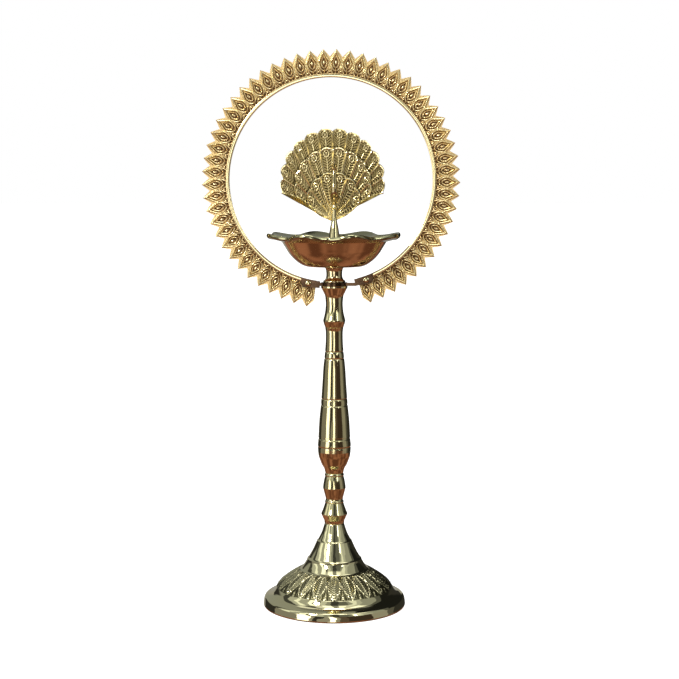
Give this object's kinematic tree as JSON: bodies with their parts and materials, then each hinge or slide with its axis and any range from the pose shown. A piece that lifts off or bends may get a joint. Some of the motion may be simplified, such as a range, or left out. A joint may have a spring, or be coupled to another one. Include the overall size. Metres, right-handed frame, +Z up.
{
  "type": "standing oil lamp",
  "caption": "Standing brass oil lamp: bell foot, turned stem, lobed oil bowl, a pointed halo ring that swings about the stem, and a lift-off peacock finial.",
  "frame": {"origin": "centre of the foot's circle on the table, on the stem's axis", "axes": "+Z up along the stem, -Y towards the front that the peacock faces, +X to the right seen from the front"},
  "size_m": [0.1757, 0.0992, 0.3827],
  "materials": {
    "polished_brass": "polished, greenish yellow brass",
    "ring_brass": "bright warm gold with darker recesses",
    "antique_brass": "antiqued cast brass",
    "bracket_brass": "satin warm brass",
    "stud_brass": "machined brass"
  },
  "bodies": {
    "stand": {"foot": "polished_brass", "foot_stud": "stud_brass"},
    "lower_column": {"lower_stem": "polished_brass", "lower_stud": "stud_brass"},
    "column": {"baluster": "polished_brass", "upper_stud": "stud_brass"},
    "upper_column": {"upper_knop": "polished_brass", "bowl_stud": "stud_brass"},
    "prabhavali": {"bracket": "bracket_brass", "prabhavali_ring": "ring_brass", "bracket_rivets": "stud_brass"},
    "bowl": {"bowl_neck": "polished_brass", "bowl_dish": "polished_brass"},
    "finial": {"finial_pedestal": "polished_brass", "finial_stud": "stud_brass", "peacock_body": "antique_brass", "tail_fan": "antique_brass", "fan_pin": "stud_brass"}
  },
  "joints": [
    {"name": "lower_stem_lift_off", "type": "slide", "parent": "stand", "child": "lower_column", "axis": [0, 0, 1], "range_m": [0, 0.014]},
    {"name": "baluster_lift_off", "type": "slide", "parent": "lower_column", "child": "column", "axis": [0, 0, 1], "range_m": [0, 0.014]},
    {"name": "upper_knop_lift_off", "type": "slide", "parent": "column", "child": "upper_column", "axis": [0, 0, 1], "range_m": [0, 0.012]},
    {"name": "prabhavali_swing", "type": "hinge", "parent": "upper_column", "child": "prabhavali", "pos_m": [0, 0, 0.2241], "axis": [0, 0, 1], "continuous": true},
    {"name": "bowl_lift_off", "type": "slide", "parent": "upper_column", "child": "bowl", "axis": [0, 0, 1], "range_m": [0, 0.012]},
    {"name": "finial_lift_off", "type": "slide", "parent": "bowl", "child": "finial", "axis": [0, 0, 1], "range_m": [0, 0.006]}
  ]
}
